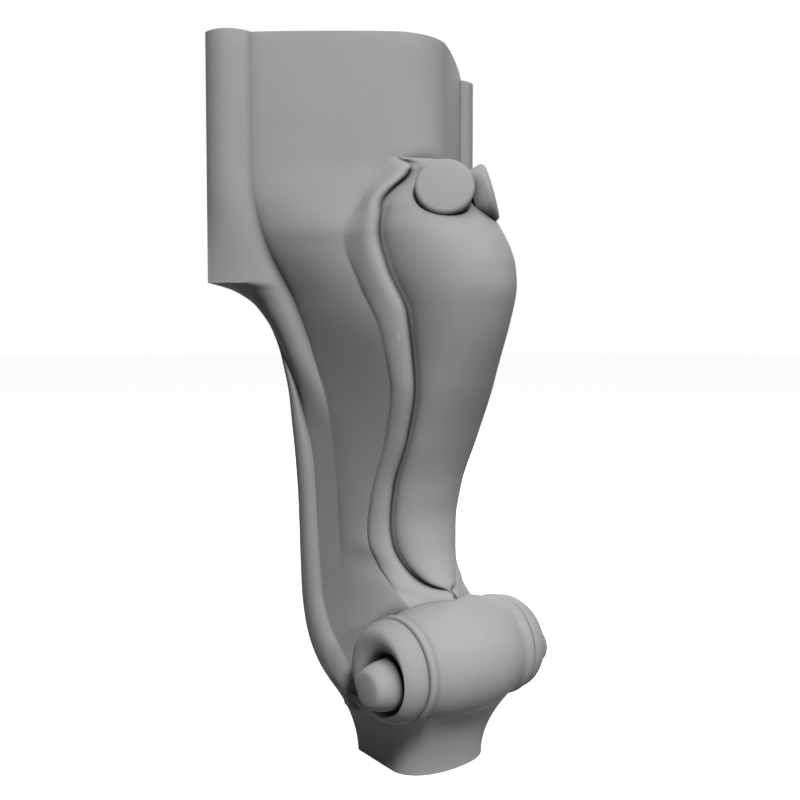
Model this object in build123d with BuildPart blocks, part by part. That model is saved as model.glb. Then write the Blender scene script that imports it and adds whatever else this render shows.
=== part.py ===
from build123d import *
from math import cos, hypot, radians, sin
import os

os.makedirs("parts", exist_ok=True)

# A carved corner leg. The floor is at z = 0, the front looks along -Y, and the two halves mirror each
# other across X = 0. Lengths are in millimetres, angles in degrees.

# Block with its two wings
LEG_HEIGHT = 300.0
BLOCK_START = 250.0
NOSE_Y = -4.5
TIP_X = 72.0
BACK_Y = 51.0
WING_FOOT = 199.0
SHANK_FOOT = 22.0
FACE_BOW = 0.8
BEAD_SIZE = 4.0

# Pad and the raised border around it
DOME = 0.56
BORDER_RISE = 4.2
TRENCH_DEPTH = 2.5
GROOVE_WIDTH = 0.5
GROOVE_DEPTH = 1.6
PAD_POINT = 73.2

# Back band
BAND_SWELL = 2.5

# Lobes at the top of the knee
LOBE_X = 11.8
LOBE_Y = -30.3
LOBE_Z = 235.5
LOBE_RADIUS = 11.7
LOBE_THICKNESS = 8.0
LOBE_TURN = 43.0
LOBE_LEAN = 16.0
LOBE_EDGE = 2.0

# Scroll
SCROLL_Y = -19.5
SCROLL_Z = 45.8
BARREL_RADIUS = 23.6
NECK_RADIUS = 20.2
NECK_X = 29.0
RING_RADIUS = 20.8
RING_END = 40.5
HOLE_RADIUS = 10.5
HOLE_FLOOR = 32.0
BUTTON_END = 46.0
BUTTON_TIP_RADIUS = 6.8
BUTTON_BASE_RADIUS = 9.4
BUTTON_ROUND = 2.2

# Foot
FOOT_HALF = 22.6
FOOT_FRONT = -23.8
FOOT_BACK = 18.6
FOOT_TOP = 27.0
FOOT_CORNER = 14.0
FOOT_BACK_CORNER = 3.0
FOOT_TAPER = 2.5
FOOT_FLARE = 9.0
FOOT_BACK_FLARE = 2.5

# Lines that run down the leg, each as (height, distance) pairs
CROWN_Y = [
    (BLOCK_START, NOSE_Y), (245, -18.0), (236, -24.0), (228, -30.0), (220, -37.5), (212, -43.6),
    (205, -46.6), (197, -47.6), (185, -45.0), (160, -35.5), (136, -25.0), (115, -16.3), (98, -12.6),
    (90, -13.0), (83, -14.8), (77, -17.4), (PAD_POINT, -18.4), (60, -23.0),
]
PAD_X = [
    (BLOCK_START, 12.9), (244, 13.8), (236, 20.5), (228, 24.5), (217, 26.6), (204, 25.8),
    (185, 22.0), (160, 18.6), (136, 17.0), (98, 15.8), (90, 14.6), (83, 12.2), (78, 9.2), (75, 6.0),
    (PAD_POINT, 2.0),
]
PAD_Y = [
    (BLOCK_START, NOSE_Y + 3.5), (244, -11.0), (236, -10.0), (228, -8.1), (217, -8.8), (204, -13.0),
    (185, -20.5), (160, -20.5), (136, -14.1), (115, -4.7), (98, -2.2), (90, -2.9), (83, -5.9),
    (77, -10.5), (PAD_POINT, -16.0), (60, -22.0),
]
FACE_X = [
    (BLOCK_START, 16.6), (235, 25.8), (217, 35.2), (198, 33.0), (178, 29.8), (152, 25.2),
    (126, 23.4), (92, 22.9), (83, 20.5), (73, 18.4), (60, 16.0),
]
FACE_Y = [
    (BLOCK_START, NOSE_Y + 6.1), (235, 5.0), (217, 6.4), (198, -1.0), (178, -11.0), (160, -12.3),
    (138, -7.0), (111, 4.0), (97, 6.6), (83, 3.0), (73, -6.4), (60, -20.0),
]
GROOVE_X = [
    (BLOCK_START, TIP_X - 12.9), (235, TIP_X - 13.6), (223, 54.8), (212, 51.0), (202, 45.5),
    (192, 40.5), (169, 33.2), (146, 29.2), (120, 27.0), (92, 25.8), (34, 25.0), (SHANK_FOOT, 25.0),
]
GROOVE_Y = [
    (BLOCK_START, BACK_Y - 14.7), (212, BACK_Y - 14.7), (192, 33.7), (169, 30.4), (146, 25.5),
    (120, 23.0), (92, 22.0), (66, 19.0), (50, 11.0), (34, 0.0), (SHANK_FOOT, -2.0),
]
EDGE_X = [
    (WING_FOOT, TIP_X), (WING_FOOT - 1.7, TIP_X - 8.5), (WING_FOOT - 4, TIP_X - 14.5),
    (WING_FOOT - 9, 50.0), (WING_FOOT - 27, 39.0), (WING_FOOT - 52, 32.0), (120, 29.0), (95, 28.0),
    (34, 27.0),
]
EDGE_Y = [
    (WING_FOOT, BACK_Y - 1.0), (WING_FOOT - 9, 48.5), (WING_FOOT - 27, 45.5),
    (WING_FOOT - 52, 40.3), (120, 36.0), (95, 35.5), (66, 32.9), (52, 27.0), (42, 16.7), (34, 10.0),
    (SHANK_FOOT, 6.0),
]
BAND_X = [
    (WING_FOOT, TIP_X - 1.5), (WING_FOOT - 1.7, TIP_X - 10.0), (WING_FOOT - 4, TIP_X - 16.0),
    (WING_FOOT - 9, 48.8), (WING_FOOT - 19, 41.8), (WING_FOOT - 31, 38.0), (WING_FOOT - 59, 34.8),
    (107, 32.0), (85, 31.2), (34, 29.5), (SHANK_FOOT, 28.5),
]
BAND_Y = [
    (WING_FOOT, BACK_Y - 0.2), (WING_FOOT - 9, BACK_Y - 1.0), (WING_FOOT - 31, BACK_Y - 4.0),
    (WING_FOOT - 49, 43.0), (120, 42.2), (85, 42.0), (66, 41.5), (52, 38.5), (42, 33.0), (34, 25.5),
    (SHANK_FOOT, 13.0),
]
BACK_X = [
    (WING_FOOT, 50.0), (WING_FOOT - 9, 36.0), (WING_FOOT - 31, 27.0), (85, 19.5), (34, 19.0),
]
BACK_LINE = [
    (85, BACK_Y), (64, BACK_Y - 0.4), (54, BACK_Y - 1.6), (44, 46.8), (36, 42.0), (29, 33.0),
    (SHANK_FOOT, 21.5),
]
CREST_SHARE = [(245, 0.3), (217, 0.26), (190, 0.34), (160, 0.42), (75, 0.45)]
RISE_FADE = [(BLOCK_START, 0.0), (246, 0.6), (240, 1.0), (217, 1.0), (170, 0.82), (100, 0.75), (60, 0.62)]
TRENCH_FADE = [(248, 0.0), (243, 1.0), (236, 1.0), (222, 0.0)]
CARVING_FADE = [
    (BLOCK_START, 0.0), (BLOCK_START - 7, 1.0),
]
BAND_FADE = [
    (WING_FOOT, 0.0), (WING_FOOT - 27, 0.2), (WING_FOOT - 49, 1.0),
]
BEAD_FADE = [
    (WING_FOOT, 1.0), (WING_FOOT - 27, 0.7), (WING_FOOT - 49, 0.2), (WING_FOOT - 64, 0.0),
]


def flow(height, knots):
    """The distance at a height, on a smooth line through the given pairs."""
    knots = sorted(knots)
    if height <= knots[0][0]:
        return knots[0][1]
    if height >= knots[-1][0]:
        return knots[-1][1]
    steps = [(b[1] - a[1]) / (b[0] - a[0]) for a, b in zip(knots, knots[1:])]
    slopes = [0.0]
    for before, after in zip(steps, steps[1:]):
        slopes.append(2 * before * after / (before + after) if before * after > 0 else 0.0)
    slopes.append(0.0)
    i = max(k for k in range(len(steps)) if knots[k][0] <= height)
    span = knots[i + 1][0] - knots[i][0]
    t = (height - knots[i][0]) / span
    start, end = knots[i][1], knots[i + 1][1]
    return (
        start * (1 + 2 * t) * (1 - t) ** 2
        + end * t * t * (3 - 2 * t)
        + span * (slopes[i] * t * (1 - t) ** 2 - slopes[i + 1] * t * t * (1 - t))
    )


def plan(height, half):
    """A plan outline at a height. The left half runs from the front to the back, each stretch given by the
    control points of its curve, the right half mirrors it, and a straight line closes the back."""
    right = [[(-x, y) for x, y in reversed(points)] for points in reversed(half)]
    with BuildSketch(Plane.XY.offset(height)) as outline:
        with BuildLine():
            for points in half + [[half[-1][-1], right[0][0]]] + right:
                if len(points) == 2:
                    Line(*points)
                else:
                    Bezier(*points)
        make_face()
    return outline.sketch


def bulged(start, end, swell):
    """Control points of a curve between two points that stands out sideways by a swell."""
    dx, dy = end[0] - start[0], end[1] - start[1]
    length = hypot(dx, dy)
    out_x, out_y = -dy / length * swell * 4 / 3, dx / length * swell * 4 / 3
    return [
        start,
        (start[0] + 0.25 * dx + out_x, start[1] + 0.25 * dy + out_y),
        (start[0] + 0.75 * dx + out_x, start[1] + 0.75 * dy + out_y),
        end,
    ]


def toward(start, end, share, out=0.0):
    """The point at a share of the way between two points, moved sideways by an offset."""
    dx, dy = end[0] - start[0], end[1] - start[1]
    length = hypot(dx, dy)
    return (start[0] + share * dx - out * dy / length, start[1] + share * dy + out * dx / length)


def leg_outline(height):
    """The leg's plan outline, from the pad's crown round border, side face, wing bead and back band."""
    crown = (0, flow(height, CROWN_Y))
    pad = (-flow(height, PAD_X), flow(height, PAD_Y))
    face = (-flow(height, FACE_X), flow(height, FACE_Y))
    wing = (-flow(height, GROOVE_X), flow(height, GROOVE_Y))
    edge = (-flow(height, EDGE_X), flow(height, EDGE_Y))
    band = (-flow(height, BAND_X), flow(height, BAND_Y))
    back = (-flow(height, BACK_X), flow(height, BACK_LINE))
    carving = flow(height, CARVING_FADE)
    trench = flow(height, TRENCH_FADE)
    groove = (
        pad[0] - GROOVE_WIDTH - 0.8 * trench,
        pad[1] + 0.4 + (GROOVE_DEPTH - 0.4) * carving + TRENCH_DEPTH * trench,
    )
    crest, rise = flow(height, CREST_SHARE), BORDER_RISE * flow(height, RISE_FADE)
    ridge = toward(groove, face, crest, rise)
    near, far = 0.35 + (DOME - 0.35) * carving, 0.65 + (DOME - 0.65) * carving
    swell = BEAD_SIZE * flow(height, BEAD_FADE)
    return plan(height, [
        [crown, (near * pad[0], crown[1]),
         ((0.7 + 0.3 * carving) * pad[0], pad[1] + far * (crown[1] - pad[1])), pad],
        [pad, groove],
        [groove, toward(groove, face, 0.1 * crest, 0.8 * rise),
         toward(groove, face, 0.5 * crest, rise), ridge],
        [ridge, toward(groove, face, crest + 0.25 * (1 - crest), rise),
         toward(groove, face, crest + 0.55 * (1 - crest), 0.1 * rise), face],
        bulged(face, wing, FACE_BOW),
        bulged(wing, edge, swell),
        [edge, toward(edge, band, 0.5, BAND_SWELL * flow(height, BAND_FADE)), band],
        [band, (band[0], band[1] + 0.55 * (back[1] - band[1])),
         (band[0] + 0.45 * (back[0] - band[0]), back[1]), back],
    ])


def foot_outline(height):
    """The foot, a rounded square that flares towards the scroll."""
    t = height / FOOT_TOP
    half = FOOT_HALF + FOOT_FLARE * t ** 2
    front = FOOT_FRONT - FOOT_FLARE * t ** 2
    back = FOOT_BACK + FOOT_BACK_FLARE * t
    r, tight = FOOT_CORNER, FOOT_BACK_CORNER
    return plan(height, [
        [(0, front), (-half + 0.5 * r, front), (-half, front + 0.45 * r), (-half, front + r)],
        [(-half, front + r), (-half + FOOT_TAPER, back - tight)],
        [(-half + FOOT_TAPER, back - tight), (-half + FOOT_TAPER, back), (-half + FOOT_TAPER + tight, back)],
    ])


def stations(start, end, shares):
    """Heights at the given shares of the way from one height to another."""
    return [start + (end - start) * share for share in shares]


with BuildPart() as shank:
    loft([leg_outline(h) for h in (LEG_HEIGHT, BLOCK_START)], ruled=True)
    loft([leg_outline(h) for h in stations(
        BLOCK_START, WING_FOOT, (0, 0.06, 0.14, 0.25, 0.38, 0.5, 0.62, 0.74, 0.85, 0.94, 1))])
    loft([leg_outline(h) for h in stations(
        WING_FOOT, SHANK_FOOT,
        (0, 0.011, 0.028, 0.05, 0.085, 0.13, 0.19, 0.265, 0.345, 0.425, 0.5, 0.57, 0.635, 0.69, 0.745,
         0.8, 0.853, 0.904, 0.955, 1))])

with BuildPart() as lobes:
    for side in (-1, 1):
        out = Vector(
            side * sin(radians(LOBE_TURN)) * cos(radians(LOBE_LEAN)),
            -cos(radians(LOBE_TURN)) * cos(radians(LOBE_LEAN)),
            sin(radians(LOBE_LEAN)),
        )
        with BuildSketch(Plane(origin=(side * LOBE_X, LOBE_Y, LOBE_Z), z_dir=out)):
            Circle(LOBE_RADIUS)
        extrude(amount=-LOBE_THICKNESS)
    fillet(lobes.faces().filter_by(GeomType.PLANE).sort_by(Axis.Y)[:2].edges(), LOBE_EDGE)

with BuildPart() as scroll:
    with BuildSketch(Plane.XY):
        with BuildLine():
            Spline(
                (0, BARREL_RADIUS), (0.55 * NECK_X, BARREL_RADIUS - 1.2), (NECK_X, NECK_RADIUS),
                tangents=((1, 0), (1, -0.55)),
            )
            Spline(
                (NECK_X, NECK_RADIUS), (NECK_X + 0.4 * (RING_END - NECK_X), RING_RADIUS),
                (RING_END, (RING_RADIUS + HOLE_RADIUS) / 2),
                (RING_END - 0.3 * (RING_END - NECK_X), HOLE_RADIUS + 1.0), (HOLE_FLOOR, HOLE_RADIUS),
                tangents=((1, 0.5), (-1, 0)),
            )
            Line((HOLE_FLOOR, HOLE_RADIUS), (HOLE_FLOOR, BUTTON_BASE_RADIUS))
            Spline(
                (HOLE_FLOOR, BUTTON_BASE_RADIUS), (BUTTON_END - BUTTON_ROUND, BUTTON_TIP_RADIUS),
                (BUTTON_END, BUTTON_TIP_RADIUS - BUTTON_ROUND), tangents=((1, -0.1), (-0.2, -1)),
            )
            Line((BUTTON_END, BUTTON_TIP_RADIUS - BUTTON_ROUND), (BUTTON_END, 0))
            Line((BUTTON_END, 0), (0, 0))
            Line((0, 0), (0, BARREL_RADIUS))
        make_face()
    revolve(axis=Axis.X)
    mirror(about=Plane.YZ)

with BuildPart() as foot:
    loft([foot_outline(h) for h in (0, 9, 18, FOOT_TOP)])

with BuildPart() as leg:
    add(shank.part)
    add(foot.part)
    add(scroll.part.moved(Location((0, SCROLL_Y, SCROLL_Z))))
    add(lobes.part)

leg.part.label = "leg"
export_step(leg.part, "parts/leg.step")
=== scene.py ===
from math import cos, hypot, pi, radians, sin

import bpy
import numpy as np
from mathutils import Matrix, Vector


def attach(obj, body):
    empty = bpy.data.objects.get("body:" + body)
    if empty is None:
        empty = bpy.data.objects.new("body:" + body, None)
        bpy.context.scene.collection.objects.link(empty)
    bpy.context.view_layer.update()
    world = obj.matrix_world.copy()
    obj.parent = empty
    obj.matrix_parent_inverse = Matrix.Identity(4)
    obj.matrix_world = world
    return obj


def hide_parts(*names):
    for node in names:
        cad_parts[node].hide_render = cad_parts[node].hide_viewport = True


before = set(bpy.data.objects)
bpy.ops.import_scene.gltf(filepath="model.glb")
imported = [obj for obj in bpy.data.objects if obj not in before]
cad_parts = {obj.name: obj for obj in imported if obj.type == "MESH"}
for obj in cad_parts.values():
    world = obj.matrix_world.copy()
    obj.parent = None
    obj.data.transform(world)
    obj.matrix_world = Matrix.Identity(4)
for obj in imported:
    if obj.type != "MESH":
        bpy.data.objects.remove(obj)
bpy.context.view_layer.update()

MM = 0.001

# The leg's sizes in millimetres and its angles in degrees
LEG_HEIGHT, BLOCK_START, WING_FOOT, SHANK_FOOT = 300.0, 250.0, 199.0, 22.0
DOME, GROOVE_WIDTH, GROOVE_DEPTH = 0.56, 0.5, 1.6
FACE_BOW, BEAD_SIZE, BAND_SWELL = 0.8, 5.2, 2.5
BEAD_INSET_X, BEAD_INSET_Y = 0.9, 1.1
TRENCH_WIDTH, TRENCH_DEPTH, TIP_RAISE, TIP_FLATTEN = 0.8, 2.5, 3.4, 0.75
LOBE_X, LOBE_Y, LOBE_Z, LOBE_RADIUS, LOBE_THICKNESS = 13.0, -29.4, 235.2, 11.7, 8.0
LOBE_TURN, LOBE_LEAN, LOBE_EDGE, LOBE_CROWN = 43.0, 16.0, 2.0, 0.5
SCROLL_Y, SCROLL_Z, BARREL_RADIUS = -19.5, 45.8, 24.2
NECK_RADIUS, NECK_X, RING_RADIUS, RING_END = 20.2, 29.0, 20.6, 38.6
HOLE_FLOOR, EYE_DROP, EYE_FORWARD, EYE_RADIUS, EYE_FADE = 32.0, 3.0, 4.0, 17.0, 6.0
BUTTON_END, BUTTON_FACE_RADIUS = 47.4, 4.6
FOOT_HALF, FOOT_FRONT, FOOT_BACK, FOOT_TOP, FOOT_OVERLAP = 22.6, -23.8, 18.6, 27.0, 1.5
FOOT_CORNER, FOOT_BACK_CORNER, FOOT_TAPER = 14.0, 3.0, 2.5
FOOT_FLARE, FOOT_BACK_FLARE = 9.0, 2.5
FOOT_LIMIT, FOOT_LIMIT_SLOPE, FOOT_LIMIT_REACH = 29.0, 0.22, 20.0
AXIS_RADIUS = 0.3

# How finely the curves are cut: rows up the leg, points round it, steps along the profiles
SHANK_ROWS, WING_ROWS, HOOD_ROWS, BLOCK_ROWS, FOOT_ROWS = 150, 56, 5, 8, 32
HOOD_HEIGHT = 2
SCROLL_AROUND, LOBE_AROUND, LOBE_EDGE_STEPS = 96, 64, 9
BARREL_STEPS, RING_STEPS, BUTTON_STEPS = 6, 5, 4

# Lines that run down the leg, each as (height, distance) pairs
CROWN_Y = [
    (250, -4.5), (249.2, -10.5), (247.5, -17.5), (245, -22.0), (241, -24.8), (236, -26.8),
    (228, -31.0), (220, -37.5), (212, -43.6), (205, -46.6), (197, -47.6), (185, -45.0),
    (160, -35.5), (136, -25.0), (115, -16.3), (98, -12.6), (90, -13.0), (83, -14.8), (77, -17.4),
    (74.4, -18.7), (73.2, -18.4), (71.8, -20.6), (60, -26.2),
]
PAD_X = [
    (250, 12.9), (247, 9.5), (243, 10.3), (241, 11.7), (236, 17.8), (231.5, 22.3), (228, 24.2),
    (217, 26.6), (204, 25.8), (185, 22.0), (160, 18.6), (136, 17.0), (98, 15.8), (90, 14.6),
    (83, 12.2), (78, 9.2), (75, 6.2), (73.8, 3.6), (73.2, 0.6),
]
PAD_Y = [
    (250, -1.0), (244, -11.0), (236, -10.0), (228, -8.1), (217, -8.8), (204, -13.0), (185, -20.5),
    (160, -20.5), (136, -14.1), (115, -4.7), (98, -2.2), (90, -2.9), (83, -5.9), (77, -10.5),
    (73.8, -15.4), (73.2, -17.2), (71.8, -19.4), (60, -24.6),
]
FACE_X = [
    (250, 16.6), (235, 25.8), (217, 35.2), (198, 33.0), (178, 29.8), (152, 25.2), (126, 23.4),
    (92, 22.9), (83, 20.5), (73, 18.4), (60, 16.0),
]
FACE_Y = [
    (250, 1.6), (235, 5.0), (217, 6.4), (198, -1.0), (178, -11.0), (160, -12.3), (138, -7.0),
    (111, 4.0), (97, 6.6), (83, 3.0), (73, -6.4), (60, -20.0),
]
GROOVE_X = [
    (250, 59.1), (235, 58.4), (223, 55.5), (212, 51.0), (202, 45.5), (192, 40.5), (169, 33.2),
    (146, 29.2), (120, 27.0), (92, 25.8), (34, 25.0), (22, 25.0),
]
GROOVE_Y = [
    (250, 36.3), (212, 36.3), (192, 33.7), (169, 30.4), (146, 25.5), (120, 23.0), (92, 22.0),
    (66, 19.0), (50, 11.0), (34, 0.0), (22, -2.0),
]
EDGE_X = [
    (199, 72.0), (197.3, 63.5), (195, 57.5), (190, 50.0), (172, 39.0), (147, 32.0), (120, 29.0),
    (95, 28.0), (34, 27.0),
]
EDGE_Y = [
    (199, 50.0), (190, 48.5), (172, 45.5), (147, 40.3), (120, 36.0), (95, 35.5), (66, 32.9),
    (52, 27.0), (42, 16.7), (34, 10.0), (22, 6.0),
]
BAND_X = [
    (199, 70.5), (197.3, 62.0), (195, 56.0), (190, 48.8), (180, 41.8), (168, 38.0), (140, 34.8),
    (107, 32.0), (85, 31.2), (34, 29.5), (22, 28.5),
]
BAND_Y = [
    (199, 50.8), (190, 50.0), (168, 47.0), (150, 43.0), (120, 42.2), (85, 42.0), (66, 41.5),
    (52, 38.5), (42, 33.0), (34, 25.5), (22, 13.0),
]
BACK_X = [(199, 50.0), (190, 36.0), (168, 27.0), (85, 19.5), (34, 19.0)]
BACK_LINE = [(85, 51.0), (64, 50.6), (54, 49.4), (44, 46.8), (36, 42.0), (29, 33.0), (22, 21.5)]

# How strongly a feature shows at a height, and where the border's crest lies and how far it stands out
CARVING_FADE = [(250, 0.0), (243, 1.0)]
BAND_FADE = [(199, 0.0), (172, 0.2), (150, 1.0)]
BEAD_FADE = [(199, 1.0), (172, 0.7), (150, 0.2), (135, 0.0)]
TRENCH_FADE = [(248, 0.0), (243, 1.0), (236, 1.0), (222, 0.0)]
TIP_FILL = [(75, 0.0), (71.5, 1.0)]
CREST = [(245, 0.3), (217, 0.26), (190, 0.34), (160, 0.42), (75, 0.45)]
RISE = [(250, 0.0), (246, 2.6), (240, 4.2), (217, 4.2), (170, 3.4), (100, 3.0), (60, 2.6)]
OUTER_EDGE = [(250, 0.1), (225, 0.15), (195, 0.55), (80, 0.75)]


def flow(height, knots):
    """The distance at a height, on a smooth line through the given pairs."""
    knots = sorted(knots)
    if height <= knots[0][0]:
        return knots[0][1]
    if height >= knots[-1][0]:
        return knots[-1][1]
    steps = [(b[1] - a[1]) / (b[0] - a[0]) for a, b in zip(knots, knots[1:])]
    slopes = [0.0]
    for before, after in zip(steps, steps[1:]):
        slopes.append(2 * before * after / (before + after) if before * after > 0 else 0.0)
    slopes.append(0.0)
    i = max(k for k in range(len(steps)) if knots[k][0] <= height)
    span = knots[i + 1][0] - knots[i][0]
    t = (height - knots[i][0]) / span
    start, end = knots[i][1], knots[i + 1][1]
    return (
        start * (1 + 2 * t) * (1 - t) ** 2
        + end * t * t * (3 - 2 * t)
        + span * (slopes[i] * t * (1 - t) ** 2 - slopes[i + 1] * t * t * (1 - t))
    )


def toward(start, end, share, out=0.0):
    """The point at a share of the way between two points, moved sideways by an offset."""
    dx, dy = end[0] - start[0], end[1] - start[1]
    length = hypot(dx, dy)
    return (start[0] + share * dx - out * dy / length, start[1] + share * dy + out * dx / length)


def bulged(start, end, swell):
    """Control points of a curve between two points that stands out sideways by a swell."""
    handle = swell * 4 / 3
    return [start, toward(start, end, 0.25, handle), toward(start, end, 0.75, handle), end]


def sample(points, count):
    """Points along a Bezier curve, its last point left out."""
    t = np.arange(count)[:, None] / count
    p = [np.array(q, float) for q in points]
    while len(p) > 1:
        p = [(1 - t) * a + t * b for a, b in zip(p, p[1:])]
    return np.broadcast_to(p[0], (count, 2))


def mirrored(half, height):
    """A closed ring at a height from its left half, which runs from the front round to the back."""
    ring = np.vstack([half, half[-2:0:-1] * [-1, 1]])
    return np.column_stack([ring, np.full(len(ring), height)])


def border_runs(pad, face, height):
    """Curves of the groove beside the pad and of the raised border, from the pad to the side face."""
    carving, trench, fill = flow(height, CARVING_FADE), flow(height, TRENCH_FADE), flow(height, TIP_FILL)
    crest, outer = flow(height, CREST), flow(height, OUTER_EDGE)
    rise = flow(height, RISE) * (1 - TIP_FLATTEN * fill)
    depth = 0.4 + (GROOVE_DEPTH - 0.4) * carving + TRENCH_DEPTH * trench - TIP_RAISE * fill
    groove = (pad[0] - GROOVE_WIDTH - TRENCH_WIDTH * trench, pad[1] + depth)
    ridge = toward(groove, face, crest, rise)
    inner_flank = [
        groove,
        toward(groove, face, 0.1 * crest, 0.8 * rise),
        toward(groove, face, 0.5 * crest, rise),
        ridge,
    ]
    outer_flank = [
        ridge,
        toward(groove, face, crest + 0.25 * (1 - crest), rise),
        toward(groove, face, crest + (0.55 + 0.4 * outer) * (1 - crest), outer * rise),
        face,
    ]
    return [([pad, groove], 3), (inner_flank, 14), (outer_flank, 18)]


def half_outline(height):
    """Points of the left half of the shank's outline, from the front round to the back."""
    def at(x_line, y_line):
        return (-flow(height, x_line), flow(height, y_line))

    crown = (0.0, flow(height, CROWN_Y))
    pad, face = at(PAD_X, PAD_Y), at(FACE_X, FACE_Y)
    wing, edge = at(GROOVE_X, GROOVE_Y), at(EDGE_X, EDGE_Y)
    band, back = at(BAND_X, BAND_Y), at(BACK_X, BACK_LINE)
    carving, bead = flow(height, CARVING_FADE), flow(height, BEAD_FADE)
    wing = (wing[0] + BEAD_INSET_X * bead, wing[1] + BEAD_INSET_Y * bead)
    near, far = 0.35 + (DOME - 0.35) * carving, 0.65 + (DOME - 0.65) * carving
    middle = ((edge[0] + band[0]) / 2, (edge[1] + band[1]) / 2)
    dx, dy = band[0] - edge[0], band[1] - edge[1]
    swell = BAND_SWELL * flow(height, BAND_FADE) / max(hypot(dx, dy), 0.01)
    dome = [
        crown,
        (near * pad[0], crown[1]),
        ((0.7 + 0.3 * carving) * pad[0], pad[1] + far * (crown[1] - pad[1])),
        pad,
    ]
    corner = [
        band,
        (band[0], band[1] + 0.55 * (back[1] - band[1])),
        (band[0] + 0.45 * (back[0] - band[0]), back[1]),
        back,
    ]
    runs = [(dome, 36)] + border_runs(pad, face, height) + [
        (bulged(face, wing, FACE_BOW), 28),
        (bulged(wing, edge, BEAD_SIZE * bead), 16),
        ([edge, (middle[0] - swell * dy, middle[1] + swell * dx), band], 10),
        (corner, 12),
        ([back, (0.0, back[1])], 6),
    ]
    half = np.vstack([sample(points, count) for points, count in runs])
    return np.vstack([half, [[0.0, back[1]]]])


def turned(profile, around):
    """Rings of a shape turned about the X axis from (along, radius) pairs."""
    angles = np.arange(around) * 2 * pi / around
    return np.array([
        np.column_stack([np.full(around, along), radius * np.cos(angles), radius * np.sin(angles)])
        for along, radius in profile
    ])


def smooth_path(points, steps):
    """A smooth open path through the given points."""
    p = np.array([points[0]] + list(points) + [points[-1]], float)
    out = []
    for i in range(len(points) - 1):
        a, b, c, d = p[i], p[i + 1], p[i + 2], p[i + 3]
        for t in np.arange(steps) / steps:
            out.append(0.5 * (
                2 * b + (c - a) * t + (2 * a - 5 * b + 4 * c - d) * t * t
                + (3 * b - a - 3 * c + d) * t ** 3
            ))
    out.append(p[-2])
    return np.array(out)


def shank_rows():
    """The shank with its block, as one ring for each height."""
    heights = np.concatenate([
        np.linspace(SHANK_FOOT, WING_FOOT, SHANK_ROWS, endpoint=False),
        np.linspace(WING_FOOT, BLOCK_START, WING_ROWS, endpoint=False),
        np.linspace(BLOCK_START, BLOCK_START + HOOD_HEIGHT, HOOD_ROWS, endpoint=False),
        np.linspace(BLOCK_START + HOOD_HEIGHT, LEG_HEIGHT, BLOCK_ROWS),
    ])
    return np.array([mirrored(half_outline(height), height) for height in heights])


def scroll_rows():
    """The scroll, with a collar, a ring, a round eye and a button at each end."""
    barrel = [
        (0, BARREL_RADIUS), (0.3 * NECK_X, BARREL_RADIUS - 0.4), (0.55 * NECK_X, BARREL_RADIUS - 1.6),
        (0.72 * NECK_X, BARREL_RADIUS - 3.1), (0.82 * NECK_X, NECK_RADIUS + 0.25),
        (0.91 * NECK_X, NECK_RADIUS + 0.9), (0.97 * NECK_X, NECK_RADIUS + 0.6), (NECK_X, NECK_RADIUS - 0.7),
    ]
    ring = [
        (NECK_X, NECK_RADIUS - 0.7), (NECK_X + 1.0, NECK_RADIUS - 0.1), (NECK_X + 3.4, RING_RADIUS - 0.5),
        (NECK_X + 6.2, 19.2), (RING_END - 0.5, 17.0), (RING_END, 14.8), (RING_END - 1.2, 12.6),
        (RING_END - 3.4, 11.4), (HOLE_FLOOR + 1.5, 10.9), (HOLE_FLOOR, 10.6),
    ]
    button = [
        (HOLE_FLOOR, 10.6), (HOLE_FLOOR + 1.5, 10.1), (39.5, 9.6), (43.0, 8.8), (BUTTON_END - 1.8, 7.8),
        (BUTTON_END - 0.5, 6.6), (BUTTON_END, BUTTON_FACE_RADIUS), (BUTTON_END + 0.2, 2.0),
        (BUTTON_END + 0.2, AXIS_RADIUS),
    ]
    end = np.vstack([
        smooth_path(barrel, BARREL_STEPS)[1:],
        smooth_path(ring, RING_STEPS)[1:],
        smooth_path(button, BUTTON_STEPS),
    ])
    profile = np.vstack([end[::-1] * [-1, 1], [[0, BARREL_RADIUS]], end])
    rows = turned(profile, SCROLL_AROUND) + [0, SCROLL_Y, SCROLL_Z]
    # The eye sits a little low and forward in its ring
    inner = np.clip((EYE_RADIUS - profile[:, 1]) / EYE_FADE, 0, 1) * (np.abs(profile[:, 0]) > NECK_X)
    rows[:, :, 1] -= EYE_FORWARD * inner[:, None]
    rows[:, :, 2] -= EYE_DROP * inner[:, None]
    return rows


def lobe_rows(side):
    """One round lobe, a coin with a rounded edge that looks outward and up."""
    out = Vector((
        side * sin(radians(LOBE_TURN)) * cos(radians(LOBE_LEAN)),
        -cos(radians(LOBE_TURN)) * cos(radians(LOBE_LEAN)),
        sin(radians(LOBE_LEAN)),
    ))
    coin = [(-LOBE_THICKNESS, AXIS_RADIUS), (-LOBE_THICKNESS, LOBE_RADIUS - 1)]
    coin += [
        (-LOBE_EDGE * (1 - sin(a)), LOBE_RADIUS - LOBE_EDGE * (1 - cos(a)))
        for a in np.linspace(0, pi / 2, LOBE_EDGE_STEPS)
    ]
    coin += [(LOBE_CROWN / 2, LOBE_RADIUS - 2 * LOBE_EDGE), (LOBE_CROWN, 3.0), (LOBE_CROWN, AXIS_RADIUS)]
    turn = np.array(out.to_track_quat("X", "Z").to_matrix())
    return turned(coin, LOBE_AROUND) @ turn.T + [side * LOBE_X, LOBE_Y, LOBE_Z]


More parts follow.
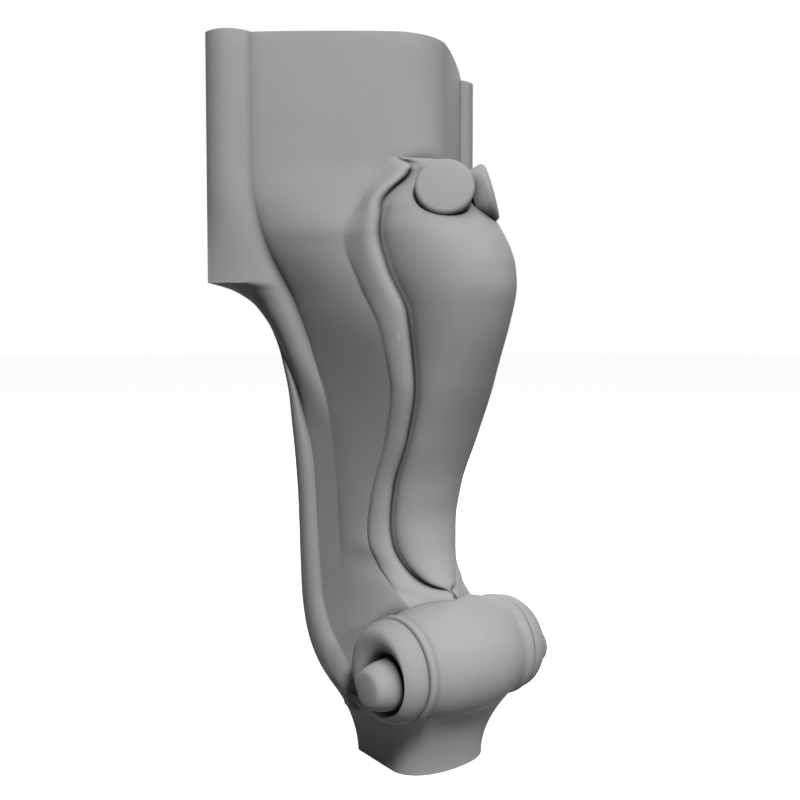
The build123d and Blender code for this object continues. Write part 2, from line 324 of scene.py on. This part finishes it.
def foot_rows():
    """The foot, which widens towards the scroll and stays inside the shank's width at the back."""
    rows = []
    r, tight = FOOT_CORNER, FOOT_BACK_CORNER
    for height in np.linspace(0, FOOT_TOP + FOOT_OVERLAP, FOOT_ROWS):
        t = height / FOOT_TOP
        side = -FOOT_HALF - FOOT_FLARE * t ** 2
        inner_side = side + FOOT_TAPER
        front = FOOT_FRONT - FOOT_FLARE * t ** 2
        back = FOOT_BACK + FOOT_BACK_FLARE * t
        half = np.vstack([
            sample([(0, front), (side + 0.5 * r, front), (side, front + 0.45 * r), (side, front + r)], 30),
            sample([(side, front + r), (inner_side, back - tight)], 12),
            sample([(inner_side, back - tight), (inner_side, back), (inner_side + tight, back)], 8),
            sample([(inner_side + tight, back), (0, back)], 8),
            [[0, back]],
        ])
        ring = mirrored(half, height)
        widest = FOOT_LIMIT + FOOT_LIMIT_SLOPE * np.clip(-ring[:, 1], 0, FOOT_LIMIT_REACH)
        ring[:, 0] = np.clip(ring[:, 0], -widest, widest)
        rows.append(ring)
    return np.array(rows)


def skin(forms):
    """Points in metres and faces of a closed skin over each form, which is given as rows of rings."""
    points, faces, base = [], [], 0
    for rows in forms:
        count, around = rows.shape[:2]
        points.append(rows.reshape(-1, 3))
        for i in range(count - 1):
            for j in range(around):
                a, b = base + i * around + j, base + i * around + (j + 1) % around
                faces.append((a, b, b + around, a + around))
        faces.append(tuple(base + j for j in reversed(range(around))))
        faces.append(tuple(base + (count - 1) * around + j for j in range(around)))
        base += count * around
    return np.vstack(points) * MM, faces


def carve_leg():
    """The carved leg as one smooth mesh."""
    points, faces = skin([shank_rows(), scroll_rows(), lobe_rows(-1), lobe_rows(1), foot_rows()])
    mesh = bpy.data.meshes.new("carved_leg")
    mesh.from_pydata(points.tolist(), [], faces)
    mesh.validate()
    mesh.update()
    leg = bpy.data.objects.new("carved_leg", mesh)
    bpy.context.scene.collection.objects.link(leg)
    bpy.context.view_layer.objects.active = leg
    leg.select_set(True)
    bpy.ops.object.mode_set(mode="EDIT")
    bpy.ops.mesh.select_all(action="SELECT")
    bpy.ops.mesh.normals_make_consistent(inside=False)
    bpy.ops.object.mode_set(mode="OBJECT")
    bpy.ops.object.shade_smooth_by_angle(angle=radians(50))
    return leg


def remapped(tree, source, low, high, to_low, to_high):
    """A value that runs between two limits while its source runs between two others."""
    node = tree.nodes.new("ShaderNodeMapRange")
    limits = {"From Min": low, "From Max": high, "To Min": to_low, "To Max": to_high}
    for name, value in limits.items():
        node.inputs[name].default_value = value
    tree.links.new(source, node.inputs["Value"])
    return node.outputs["Result"]


def combined(tree, operation, first, second):
    """Two values joined by a calculation."""
    node = tree.nodes.new("ShaderNodeMath")
    node.operation = operation
    tree.links.new(first, node.inputs[0])
    tree.links.new(second, node.inputs[1])
    return node.outputs["Value"]


def noise(tree, where, scale, detail):
    """A noise pattern at a place."""
    node = tree.nodes.new("ShaderNodeTexNoise")
    node.inputs["Scale"].default_value = scale
    node.inputs["Detail"].default_value = detail
    tree.links.new(where, node.inputs["Vector"])
    return node.outputs["Fac"]


def grey_paint():
    """Satin grey paint over carved wood."""
    paint = bpy.data.materials.new("grey_paint")
    paint.use_nodes = True
    tree = paint.node_tree
    shader = tree.nodes["Principled BSDF"]
    shader.inputs["Specular IOR Level"].default_value = 0.08
    where = tree.nodes.new("ShaderNodeTexCoord").outputs["Object"]

    # The paint's tone drifts a little, grooves and hollows are darkened by ambient occlusion as painted
    # shade, and edges are rubbed lighter
    tone = remapped(tree, noise(tree, where, 18, 5), 0.3, 0.7, 0.47, 0.53)
    # Painted shade: the base colour is darkened down to 0.08 where ambient occlusion finds grooves and
    # hollows
    groove_shade_occlusion = tree.nodes.new("ShaderNodeAmbientOcclusion")
    groove_shade_occlusion.samples = 8
    groove_shade_occlusion.only_local = True
    groove_shade_occlusion.inputs["Distance"].default_value = 7 * MM
    depth = remapped(tree, groove_shade_occlusion.outputs["AO"], 0.35, 0.95, 0.08, 1.0)
    shape = tree.nodes.new("ShaderNodeNewGeometry")
    worn = remapped(tree, shape.outputs["Pointiness"], 0.52, 0.62, 1.0, 1.18)
    grey = combined(tree, "MULTIPLY", combined(tree, "MULTIPLY", tone, depth), worn)
    color = tree.nodes.new("ShaderNodeCombineColor")
    for channel in ("Red", "Green", "Blue"):
        tree.links.new(grey, color.inputs[channel])
    tree.links.new(color.outputs["Color"], shader.inputs["Base Color"])

    # Fine brush strokes run along the leg, in relief and in gloss
    stretch = tree.nodes.new("ShaderNodeMapping")
    stretch.inputs["Scale"].default_value = (900, 900, 45)
    tree.links.new(where, stretch.inputs["Vector"])
    stroke = noise(tree, stretch.outputs["Vector"], 1.0, 3)
    relief = tree.nodes.new("ShaderNodeBump")
    relief.inputs["Strength"].default_value = 0.045
    relief.inputs["Distance"].default_value = 0.4 * MM
    tree.links.new(stroke, relief.inputs["Height"])
    tree.links.new(relief.outputs["Normal"], shader.inputs["Normal"])
    tree.links.new(remapped(tree, stroke, 0.3, 0.7, 0.62, 0.7), shader.inputs["Roughness"])
    return paint


def background_rays(tree):
    """Whether a ray sees the white background: a camera, glossy or transmission ray does."""
    path = tree.nodes.new("ShaderNodeLightPath")
    glossy = combined(tree, "MAXIMUM", path.outputs["Is Camera Ray"], path.outputs["Is Glossy Ray"])
    return combined(tree, "MAXIMUM", glossy, path.outputs["Is Transmission Ray"])


def pick_by_ray(tree, unseen, seen, surface):
    """Links one shader for the rays that light the leg and another for those that see the background."""
    pick = tree.nodes.new("ShaderNodeMixShader")
    tree.links.new(background_rays(tree), pick.inputs["Fac"])
    tree.links.new(unseen, pick.inputs[1])
    tree.links.new(seen, pick.inputs[2])
    tree.links.new(pick.outputs["Shader"], surface)


def pale_floor():
    """A plain white floor that keeps the shadow and throws little light back."""
    pale = bpy.data.materials.new("pale_floor")
    pale.use_nodes = True
    tree = pale.node_tree
    paper = tree.nodes["Principled BSDF"]
    paper.inputs["Base Color"].default_value = (0.8, 0.8, 0.8, 1)
    paper.inputs["Roughness"].default_value = 1.0
    paper.inputs["Specular IOR Level"].default_value = 0.0
    glow = tree.nodes.new("ShaderNodeEmission")
    glow.inputs["Color"].default_value = (1, 1, 1, 1)
    glow.inputs["Strength"].default_value = 0.95
    both = tree.nodes.new("ShaderNodeAddShader")
    tree.links.new(paper.outputs["BSDF"], both.inputs[0])
    tree.links.new(glow.outputs["Emission"], both.inputs[1])
    dim = tree.nodes.new("ShaderNodeBsdfDiffuse")
    dim.inputs["Color"].default_value = (0.05, 0.05, 0.05, 1)
    surface = tree.nodes["Material Output"].inputs["Surface"]
    pick_by_ray(tree, dim.outputs["BSDF"], both.outputs["Shader"], surface)
    return pale


def light_world():
    """A dim even light all round, with white for the rays that see the background."""
    world = bpy.data.worlds.new("studio")
    bpy.context.scene.world = world
    world.use_nodes = True
    tree = world.node_tree
    ground = tree.nodes["Background"]
    ground.inputs["Color"].default_value = (1, 1, 1, 1)
    ground.inputs["Strength"].default_value = 0.018
    white = tree.nodes.new("ShaderNodeBackground")
    white.inputs["Color"].default_value = (1, 1, 1, 1)
    white.inputs["Strength"].default_value = 1.0
    surface = tree.nodes["World Output"].inputs["Surface"]
    pick_by_ray(tree, ground.outputs["Background"], white.outputs["Background"], surface)


def aimed(name, data, place, target):
    """A lamp at a place, turned towards a target, in metres."""
    light = bpy.data.objects.new(name, data)
    light.location = place
    light.rotation_euler = (Vector(target) - Vector(place)).to_track_quat("-Z", "Y").to_euler()
    bpy.context.scene.collection.objects.link(light)


def soft_lamp(name, place, size, power):
    """A square lamp that looks at the middle of the leg."""
    data = bpy.data.lights.new(name, "AREA")
    data.size = size
    data.energy = power
    aimed(name, data, place, (0, 0, LEG_HEIGHT * MM / 2))


def scroll_lamp():
    """A narrow soft lamp for the scroll."""
    data = bpy.data.lights.new("scroll_lamp", "SPOT")
    data.energy = 8
    data.spot_size = radians(9)
    data.spot_blend = 1.0
    data.shadow_soft_size = 0.04
    aimed("scroll_lamp", data, (-0.26, -0.74, 0.33), (-0.005, -0.04, 0.066))


def place_camera():
    """The camera at the photograph's place."""
    azimuth, pitch = radians(39.82), radians(3.18)
    view = Vector((sin(azimuth) * cos(pitch), cos(azimuth) * cos(pitch), -sin(pitch)))
    camera = bpy.data.objects.new("camera", bpy.data.cameras.new("camera"))
    camera.location = Vector((-275.68, -317.55, 173.74)) * MM
    camera.rotation_euler = view.to_track_quat("-Z", "Y").to_euler()
    camera.data.lens = 45
    camera.data.sensor_width = 36
    camera.data.clip_start = 0.01
    bpy.context.scene.collection.objects.link(camera)
    bpy.context.scene.camera = camera


carved = carve_leg()
carved.data.materials.append(grey_paint())
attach(carved, "root")
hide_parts("leg")

bpy.ops.mesh.primitive_plane_add(size=30, location=(0, 0, 0))
floor = bpy.context.object
floor.name = "floor"
floor.data.materials.append(pale_floor())

light_world()
place_camera()
soft_lamp("front_lamp", (-0.46, -0.97, 1.18), 0.25, 17)
soft_lamp("back_lamp", (0.30, 1.25, 0.95), 0.5, 9)
soft_lamp("side_lamp", (1.05, 0.80, 0.75), 0.5, 5)
scroll_lamp()

bpy.context.scene.view_settings.view_transform = "Standard"
